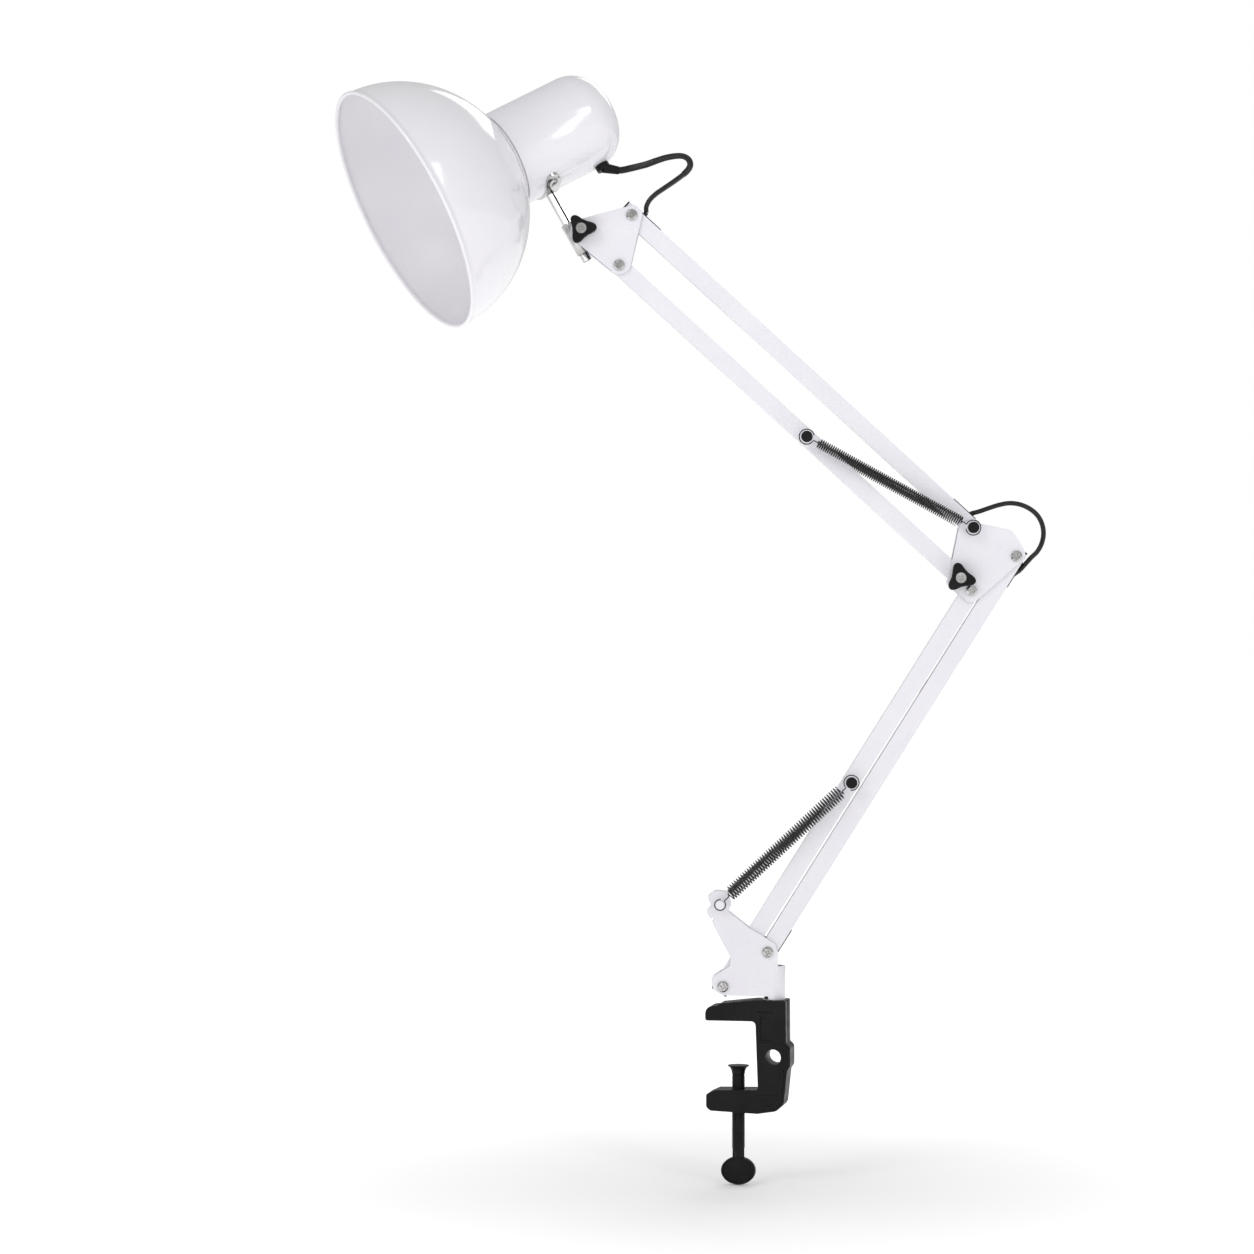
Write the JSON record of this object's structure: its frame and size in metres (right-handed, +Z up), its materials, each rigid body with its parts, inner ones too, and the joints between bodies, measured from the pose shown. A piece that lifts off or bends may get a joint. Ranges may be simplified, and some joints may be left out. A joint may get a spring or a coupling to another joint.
{
  "type": "swing arm desk lamp",
  "caption": "Desk lamp on a screw clamp: two spring balanced parallelogram arms carry a round metal shade that tilts and swivels.",
  "frame": {"origin": "on the underside of the clamp's upper jaw, in the arms' plane, near the clamping screw's axis", "axes": "+Z up; +X to the right as seen from the front, away from the shade; -Y towards the viewer; the arms swing in the plane Y = 0"},
  "size_m": [0.4832, 0.1864, 0.7558],
  "materials": {
    "black_plastic": "satin moulded black",
    "white_paint": "satin white powder coat",
    "nickel": "bright nickel plate",
    "black_spring": "black lacquered spring wire",
    "shade_enamel": "gloss white enamel",
    "socket_white": "glazed white",
    "brass": "bare",
    "black_flex": "smooth black cable sheath"
  },
  "bodies": {
    "clamp": {"clamp_body": "black_plastic"},
    "pad": {"clamp_pad": "black_plastic"},
    "screw": {"clamp_screw": "black_plastic"},
    "base": {"base_bracket": "white_paint", "base_stem": "nickel", "stem_washer": "white_paint", "spring_anchor_pin": "white_paint", "base_screws": "nickel", "base_nuts": "nickel"},
    "lower_right": {"lower_bar_right": "white_paint", "lower_right_plugs": "black_plastic", "lower_slot_liners": "black_plastic", "lower_inner_flex": "black_flex", "lead_tail": "black_flex", "lead_hank": "black_flex", "lead_plug": "black_flex", "lead_tie": "black_plastic"},
    "lower_left": {"lower_bar_left": "white_paint", "lower_left_plugs": "black_plastic", "lower_spring_post": "white_paint", "lower_post_caps": "black_plastic"},
    "lower_spring_foot": {"lower_spring_coils": "black_spring"},
    "lower_spring_end": {"lower_spring_hooks": "black_spring"},
    "elbow": {"elbow_plate_front": "white_paint", "elbow_plate_rear": "white_paint", "elbow_screws": "nickel", "elbow_nuts": "nickel", "elbow_post": "white_paint", "elbow_post_caps": "black_plastic", "elbow_flex": "black_flex"},
    "elbow_knob": {"elbow_knob": "black_plastic", "elbow_knob_bolt": "nickel"},
    "upper_top": {"upper_bar_top": "white_paint", "upper_top_plugs": "black_plastic", "upper_slot_liners": "black_plastic", "upper_inner_flex": "black_flex"},
    "upper_bottom": {"upper_bar_bottom": "white_paint", "upper_bottom_plugs": "black_plastic", "upper_spring_post": "white_paint", "upper_post_caps": "black_plastic"},
    "upper_spring_foot": {"upper_spring_coils": "black_spring"},
    "upper_spring_end": {"upper_spring_hooks": "black_spring"},
    "head_bracket": {"head_plate_front": "white_paint", "head_plate_rear": "white_paint", "head_screws": "nickel", "head_nuts": "nickel", "head_flex": "black_flex"},
    "head_knob": {"head_knob": "black_plastic", "head_knob_bolt": "nickel"},
    "tilt": {"rod_clip": "nickel"},
    "head": {"head_rod": "nickel", "rod_saddle": "nickel", "saddle_rivets": "nickel", "lamp_cup": "shade_enamel", "lamp_shade": "shade_enamel", "shade_ring": "socket_white", "lamp_socket": "socket_white", "socket_shell": "brass", "socket_bracket": "nickel", "cord_gland": "black_plastic"}
  },
  "joints": [
    {"name": "pad_lift", "type": "slide", "parent": "clamp", "child": "pad", "axis": [0, 0, 1], "range_m": [-0.009, 0.024]},
    {"name": "screw_turn", "type": "hinge", "parent": "pad", "child": "screw", "pos_m": [0.00037, 0.00422, -0.06], "axis": [0, 0, 1], "range_deg": [-1620, 4320]},
    {"name": "base_swivel", "type": "hinge", "parent": "clamp", "child": "base", "pos_m": [0.0243, 0, 0.02], "axis": [0, 0, 1], "continuous": true},
    {"name": "lower_arm", "type": "hinge", "parent": "base", "child": "lower_right", "pos_m": [0.02, 0, 0.047], "axis": [0, -1, 0], "range_deg": [-2, 25]},
    {"name": "lower_bar_follow", "type": "hinge", "parent": "base", "child": "lower_left", "pos_m": [-0.01022, 0, 0.02364], "axis": [0, -1, 0], "range_deg": [-2, 25]},
    {"name": "elbow_level", "type": "hinge", "parent": "lower_right", "child": "elbow", "pos_m": [0.18819, 0, 0.31511], "axis": [0, -1, 0], "range_deg": [-25, 2]},
    {"name": "lower_spring_swing", "type": "hinge", "parent": "base", "child": "lower_spring_foot", "pos_m": [-0.0122, 0, 0.0793], "axis": [0, -1, 0], "range_deg": [-3, 35]},
    {"name": "lower_spring_stretch", "type": "slide", "parent": "lower_spring_foot", "child": "lower_spring_end", "axis": [0.7317, 0, 0.6816], "range_m": [-0.0137, 0.0012], "deforming": ["lower_spring_coils", "lower_spring_hooks"]},
    {"name": "elbow_knob_turn", "type": "hinge", "parent": "elbow", "child": "elbow_knob", "pos_m": [0.15016, 0, 0.30037], "axis": [0, -1, 0], "range_deg": [-180, 180]},
    {"name": "upper_arm", "type": "hinge", "parent": "elbow", "child": "upper_top", "pos_m": [0.15869, 0, 0.33431], "axis": [0, -1, 0], "range_deg": [-26, 26], "deforming": ["elbow_flex"]},
    {"name": "upper_bar_follow", "type": "hinge", "parent": "elbow", "child": "upper_bottom", "pos_m": [0.15016, 0, 0.30037], "axis": [0, -1, 0], "range_deg": [-26, 26]},
    {"name": "head_level", "type": "hinge", "parent": "upper_top", "child": "head_bracket", "pos_m": [-0.07208, 0, 0.54651], "axis": [0, -1, 0], "range_deg": [-26, 26]},
    {"name": "upper_spring_swing", "type": "hinge", "parent": "elbow", "child": "upper_spring_foot", "pos_m": [0.15869, 0, 0.33431], "axis": [0, -1, 0], "range_deg": [-28.2, 28.2]},
    {"name": "upper_spring_stretch", "type": "slide", "parent": "upper_spring_foot", "child": "upper_spring_end", "axis": [-0.8771, 0, 0.4802], "range_m": [-0.015, 0.015], "deforming": ["upper_spring_coils", "upper_spring_hooks"]},
    {"name": "head_knob_turn", "type": "hinge", "parent": "head_bracket", "child": "head_knob", "pos_m": [-0.10598, 0, 0.53672], "axis": [0, -1, 0], "range_deg": [-180, 180]},
    {"name": "head_tilt", "type": "hinge", "parent": "head_bracket", "child": "tilt", "pos_m": [-0.10598, 0, 0.53672], "axis": [0, -1, 0], "range_deg": [-30, 45], "deforming": ["head_flex"]},
    {"name": "head_swivel", "type": "hinge", "parent": "tilt", "child": "head", "pos_m": [-0.11174, 0, 0.5335], "axis": [-0.4879, 0, 0.8729], "range_deg": [-80, 40]}
  ],
  "couplings": [
    {"joint": "pad_lift", "follows": "screw_turn", "m_per_rad": 0.0003183},
    {"joint": "lower_bar_follow", "follows": "lower_arm", "ratio": 1},
    {"joint": "elbow_level", "follows": "lower_arm", "ratio": -1},
    {"joint": "lower_spring_swing", "follows": "lower_arm", "ratio": 1.39},
    {"joint": "lower_spring_stretch", "follows": "lower_arm", "m_per_rad": -0.031},
    {"joint": "upper_bar_follow", "follows": "upper_arm", "ratio": 1},
    {"joint": "head_level", "follows": "upper_arm", "ratio": -1},
    {"joint": "upper_spring_swing", "follows": "upper_arm", "ratio": 1.073},
    {"joint": "upper_spring_stretch", "follows": "upper_arm", "m_per_rad": 0.0328}
  ]
}
